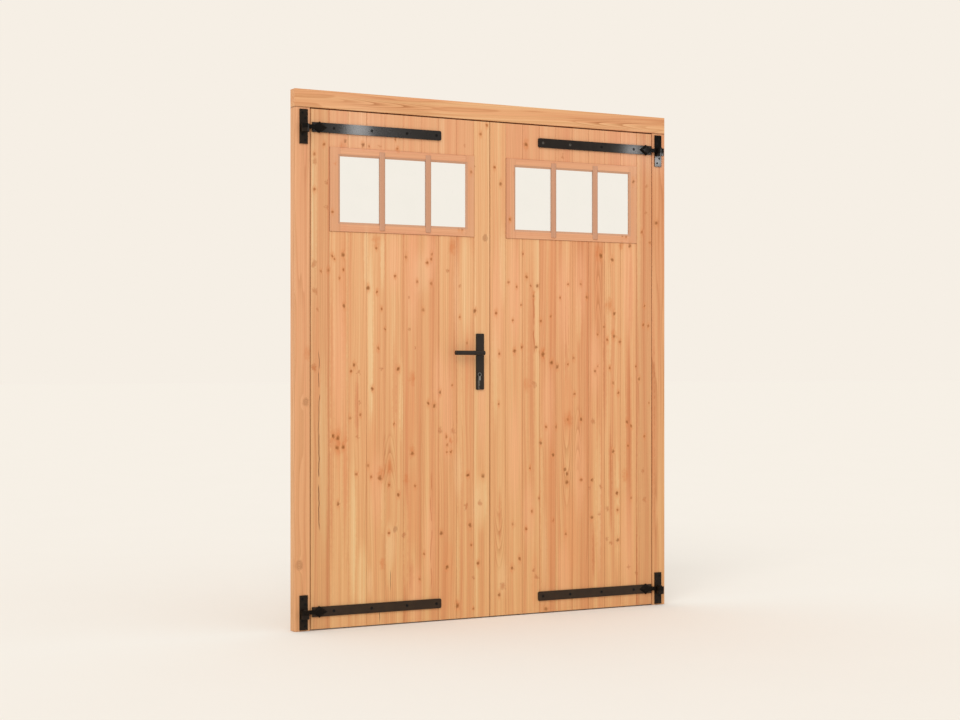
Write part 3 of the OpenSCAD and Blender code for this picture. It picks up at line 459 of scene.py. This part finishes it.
# ---------------------------------------------------------------- metal and glass
def black_steel(name, rough=0.34, warm=0.0, seed=0.0, gloss=0.27, scuffs_and_sheen=None, matt=None):
    """Satin black coating with its fine orange peel, a little dust, and lighter patches of worn coating and painted
    sheen. matt = (axis, where it is matt, where it shines).
    """
    t = Tree(name)
    p = t.place()
    q = t.vec("ADD", p, (seed, seed, seed))
    cloud = t.noise(q, 4.0, 0.6, 28.0)
    speck = t.noise(q, 2.0, 0.5, 900.0)
    peel = t.noise(q, 1.0, 0.5, 420.0)
    colour = t.ramp(cloud, [(0.30, (0.0060 + 0.016 * warm, 0.0056 + 0.005 * warm, 0.0056 - 0.001 * warm, 1)), (0.70, (0.0105 + 0.022 * warm, 0.0098 + 0.008 * warm, 0.0098 - 0.002 * warm, 1))])
    colour = t.mix(t.math("MULTIPLY", t.step(speck, 0.62, 0.75), 0.25), colour, (0.040, 0.036, 0.032, 1))
    if scuffs_and_sheen:  # a lighter grey patch of painted sheen, on the plate partly rubbed by the keys that hang from the lock: X, Z, half width, half height
        x, z, w, h = (v / 1000 for v in scuffs_and_sheen)
        d = t.vec("LENGTH", t.vec("MULTIPLY_ADD", p, (1 / w, 0, 1 / h), (-x / w, 0, -z / h)))
        hair = t.noise(t.vec("MULTIPLY", p, (1500.0, 1500.0, 160.0)), 3.0, 0.65)
        m = t.math("MULTIPLY", t.step(d, 1.15, 0.45), t.step(hair, 0.32, 0.62))
        colour = t.mix(t.math("MULTIPLY", m, 0.88), colour, (0.190, 0.176, 0.156, 1))
    if matt:  # forged parts, blackened in the fire
        axis, dull, shiny = matt
        m = t.step(t.split(p)[axis], shiny, dull)
        colour = t.mix(t.math("MULTIPLY", m, 0.85), colour, (0.0052, 0.0042, 0.0034, 1))
        gloss = t.step(m, 0.0, 1.0, gloss, 0.06)
    return t.finish(
        Base_Color=colour,
        Roughness=t.math("MULTIPLY_ADD", cloud, 0.12, rough - 0.06),
        Specular_IOR_Level=gloss,
        Normal=t.bump(peel, 0.035, 0.0002),
    )


def bright_steel(name, along=(1.0, 1.0, 0.02), level=1.0):
    """Brushed steel with fine lines and faint handling marks."""
    t = Tree(name)
    p = t.place()
    lines = t.noise(t.vec("MULTIPLY", p, tuple(1600.0 * k for k in along)), 3.0, 0.6)
    cloud = t.noise(p, 3.0, 0.6, 45.0)
    colour = t.ramp(t.math("MULTIPLY_ADD", lines, 0.5, t.math("MULTIPLY", cloud, 0.5)), [(0.3, (0.42 * level, 0.41 * level, 0.40 * level, 1)), (0.7, (0.62 * level, 0.61 * level, 0.59 * level, 1))])
    return t.finish(
        Base_Color=colour,
        Metallic=1.0,
        Roughness=t.math("MULTIPLY_ADD", lines, 0.25, 0.22),
        Normal=t.bump(lines, 0.1, 0.0001),
    )


def clear_glass(name):
    """Float glass with a faint film of dust in patches and a very slight waviness."""
    t = Tree(name)
    p = t.place()
    film = t.noise(p, 4.0, 0.6, 9.0)
    wave = t.noise(p, 1.0, 0.4, 3.0)
    return t.finish(
        Base_Color=t.ramp(film, [(0.3, (0.985, 0.995, 0.990, 1)), (0.8, (0.960, 0.975, 0.968, 1))]),
        Roughness=t.step(film, 0.45, 0.9, 0.0, 0.05),
        IOR=1.45,
        Transmission_Weight=1.0,
        Normal=t.bump(wave, 0.02, 0.001),
    )


# ---------------------------------------------------------------- materials on the pieces
def paint(node, material):
    for s in NODES[node].material_slots:
        s.material = material


LEFT, RIGHT, PITCH = -0.7475, 0.0779, 0.0837
for side, first, edge in (("left", LEFT, "lock_board"), ("right", RIGHT, "meeting_board")):
    s = 0.0 if side == "left" else 50.0
    for node, board, seed, tone in ((f"{side}_hinge_board", None, 11.3 + s, -0.08), (f"{side}_{edge}", None, 23.7 + s, 0.10),
                                    (f"{side}_long_boards", (first, PITCH), 31.1 + s, 0.0), (f"{side}_short_boards", (first, PITCH), 47.9 + s, 0.02)):
        paint(node, wood(f"{node}_wood", node, "z", board, seed, tone - (0.08 if side == "right" else 0.02), level=0.92 if "hinge" in node else 0.965 if "short" in node else 0.985, pink=0.40 if "short" in node else 0.0,
                         swirl=8.0, figure=0.75))
    # edge= sets the strength of the painted shade on the splays round the glass
    paint(f"{side}_window_stiles", wood(f"{side}_sash_upright", f"{side}_window_stiles", "z", None, 61.0 + s, -0.07, 0.8, 0.90, pink=0.52, edge=0.70, tint=(226, 162, 129)))
    paint(f"{side}_window_rails", wood(f"{side}_sash_flat", f"{side}_window_rails", "x", None, 67.0 + s, -0.03, 0.8, 0.94, pink=0.55, edge=0.70, tint=(226, 163, 131)))
    paint(f"{side}_glazing_bars", wood(f"{side}_sash_bars", f"{side}_glazing_bars", "z", None, 71.0 + s, -0.06, 0.7, 0.750, pink=0.85, edge=0.45, tint=(224, 168, 139)))
    paint(f"{side}_beads", wood(f"{side}_bead_wood", f"{side}_beads", "mixed", None, 73.0 + s, 0.0, 0.7, turn_above=1.9303, turn_below=1.6547))
    stile = "lock_stile" if side == "left" else "meeting_stile"
    for node, seed in ((f"{side}_hinge_stile", 79.0), (f"{side}_{stile}", 83.0)):
        paint(node, wood(f"{node}_wood", node, "z", None, seed + s, 0.05, wild=0.45))
    for node, seed in ((f"{side}_top_ledge", 89.0), (f"{side}_window_ledge", 97.0), (f"{side}_bottom_ledge", 101.0)):
        paint(node, wood(f"{node}_wood", node, "x", None, seed + s, 0.05, wild=0.45))
    lo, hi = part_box(f"{side}_brace")
    slope = math.atan2(hi[2] - lo[2], hi[0] - lo[0]) * (1 if side == "left" else -1)
    paint(f"{side}_brace", wood(f"{side}_brace_wood", f"{side}_brace", "slope", None, 103.0 + s, 0.05, wild=0.45, angle=slope))

paint("head", wood("head_wood", "head", "x", None, 5.0, 0.0, 1.0, 0.972, wave=2.2, rings=42.0, swirl=10.0, figure=1.35, drift=0.035))
paint("left_jamb", wood("left_jamb_wood", "left_jamb", "z", None, 13.0, 0.03, 1.2, 0.955, pink=0.40, rings=55.0, swirl=8.0, figure=1.0, drift=0.006, joint=0.7))
paint("right_jamb", wood("right_jamb_wood", "right_jamb", "z", None, 17.0, -0.11, 1.2, 0.955, rings=55.0, swirl=8.0, figure=1.0, drift=-0.006, joint=0.7))
paint("stops", wood("stop_wood", "stops", "mixed", None, 19.0, 0.04, wild=0.4, turn_above=2.10))

proud = (1, -0.0292, -0.0279)  # all that stands out from the face of a strap
hinge_black = black_steel("hinge_black", 0.28, 0.1, 0.0, matt=proud)
dull_black = black_steel("dull_hinge_black", 0.30, 0.25, 5.0, 0.17, matt=proud)
low_black = black_steel("low_hinge_black", 0.46, 1.0, 3.0, 0.25, matt=proud)
bolt_black = black_steel("bolt_black", 0.28, 0.1, 0.0)
pintle_black = black_steel("pintle_black", 0.40, 0.42, 11.0, 0.10)
rubbed_pintle = black_steel("rubbed_pintle_black", 0.28, 0.1, 0.0, matt=(2, 2.030, 2.020))
lever_black = black_steel("lever_black", 0.36, 0.35, 7.0, 0.29)
screw_black = black_steel("screw_black", 0.42, 0.0, 9.0, 0.07)
highlit_screws = black_steel("highlit_screw_black", 0.42, 0.0, 9.0, 0.07, scuffs_and_sheen=(329.0, 2038, 100.0, 30.0))  # painted highlight: two of the screw heads get a light grey patch
for side in ("left", "right"):
    paint(f"{side}_top_strap", hinge_black if side == "left" else dull_black)
    paint(f"{side}_top_pintle", pintle_black if side == "left" else rubbed_pintle)
    paint(f"{side}_bottom_strap", low_black)
    paint(f"{side}_bottom_pintle", pintle_black)
    paint(f"{side}_strap_screws", screw_black if side == "left" else highlit_screws)
    paint(f"{side}_glass", clear_glass(f"{side}_clear_glass"))
for node in ("inner_plate", "plate_screws", "outer_lever", "inner_lever"):
    paint(node, lever_black)
# painted sheen: the light strip under the cylinder stands in for a reflection on the plate, partly key wear
paint("outer_plate", black_steel("plate_black", 0.36, 0.45, 7.0, 0.29, scuffs_and_sheen=(-57.0, 1000, 5.0, 40.0)))
paint("pintle_screws", screw_black)
for node in ("bolt_plates", "top_bolt", "bottom_bolt"):
    paint(node, bolt_black)
steel = bright_steel("bright_steel_upright")
for node in ("lock_case", "strike_plate"):
    paint(node, steel)
turned = bright_steel("bright_steel_turned", (0.3, 1.0, 0.3))
for node in ("spindle", "latch_bolt", "dead_bolt"):
    paint(node, turned)
paint("lock_cylinder", bright_steel("satin_cylinder", (0.3, 1.0, 0.3), 0.46))
paint("cylinder_core", bright_steel("satin_core", (0.3, 1.0, 0.3), 0.07))


# ---------------------------------------------------------------- soft edges
def soften(node, width, segments=2, angle=40.0):
    """Rounds the sharp edges of a piece, inside its own outline."""
    o = NODES[node]
    w = o.modifiers.new("join", "WELD")
    w.merge_threshold = 2e-5
    b = o.modifiers.new("edges", "BEVEL")
    b.limit_method, b.angle_limit = "ANGLE", math.radians(angle)
    b.width, b.segments = width, segments
    b.use_clamp_overlap = True
    b.harden_normals = True


for node in ("head", "left_jamb", "right_jamb"):
    soften(node, 0.0018)
for side in ("left", "right"):
    for node in ("window_stiles", "window_rails", "glazing_bars"):
        soften(f"{side}_{node}", 0.0010)
    for node in ("top_ledge", "window_ledge", "bottom_ledge", "brace", "hinge_stile"):
        soften(f"{side}_{node}", 0.0015)


# ---------------------------------------------------------------- floor, light, camera
CREAM = lin(246, 239, 229)


def pale_floor():
    t = Tree("pale_floor")
    p = t.place()
    n = t.noise(p, 3.0, 0.6, 1.5)
    m = t.finish(
        Base_Color=t.mix(n, (0.836, 0.834, 0.826, 1), (0.848, 0.847, 0.841, 1)),
        Roughness=0.9,
        Specular_IOR_Level=0.0,
    )
    return m


bpy.ops.mesh.primitive_grid_add(x_subdivisions=8, y_subdivisions=8, size=240.0, location=(0, 0, -0.0006))
floor = bpy.context.object
floor.name = "pale_floor"
floor.data.materials.append(pale_floor())
floor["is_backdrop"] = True

scene = bpy.context.scene
scene.view_settings.view_transform = "Standard"
scene.view_settings.look = "None"
world = bpy.data.worlds.new("studio")
world.use_nodes = True
back = world.node_tree.nodes["Background"]
back.inputs["Color"].default_value = CREAM
back.inputs["Strength"].default_value = 1.0
scene.world = world


def aim(o, target):
    o.rotation_euler = (Vector(target) - o.location).to_track_quat("-Z", "Y").to_euler()


sun = bpy.data.lights.new("key", "SUN")
sun.energy, sun.angle, sun.color = 0.95, math.radians(35), (1.0, 0.965, 0.91)
key = bpy.data.objects.new("key", sun)
key.location = (-3.5, -4.4, 5.2)
bpy.context.collection.objects.link(key)
aim(key, (0, 0, 1.0))


def softbox(name, location, target, width, height, watts):
    light = bpy.data.lights.new(name, "AREA")
    light.shape, light.size, light.size_y, light.energy = "RECTANGLE", width, height, watts
    o = bpy.data.objects.new(name, light)
    o.location = location
    bpy.context.collection.objects.link(o)
    aim(o, target)
    return o


# small soft lamps in front of the hinges, seen only as their glare in the black coating
GLARE = [
    ("glint_left", (-0.622, -0.0275, 2.037), 0.20, 0.090, 15.5),
    ("glint_left_far", (-0.515, -0.0275, 2.037), 0.80, 0.090, 9.0),
    ("glint_right", (0.722, -0.0275, 2.0335), 0.18, 0.065, 23.0),
    ("glint_plate", (0.852, -0.0265, 1.991), 0.12, 0.050, 19.0),
]
EYE = Vector((-3.7435, -6.7463, 1.0572))
for name, spot, reach, width, radiance in GLARE:
    ray = (Vector(spot) - EYE).normalized()
    ray.y = -ray.y
    lamp = softbox(name, Vector(spot) + reach * ray, spot, width, width, radiance * math.pi * width * width)
    lamp.visible_camera = lamp.visible_diffuse = lamp.visible_transmission = lamp.visible_volume_scatter = False

cam = bpy.data.cameras.new("camera")
cam.sensor_width, cam.lens, cam.shift_x, cam.shift_y = 36.0, 67.656, 0.0, 0.00977
cam.clip_start, cam.clip_end = 0.05, 400.0
camera = bpy.data.objects.new("camera", cam)
camera.location = EYE
camera.rotation_euler = (math.radians(90), 0.0, math.radians(-28.786))
bpy.context.collection.objects.link(camera)
scene.camera = camera

lo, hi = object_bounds()
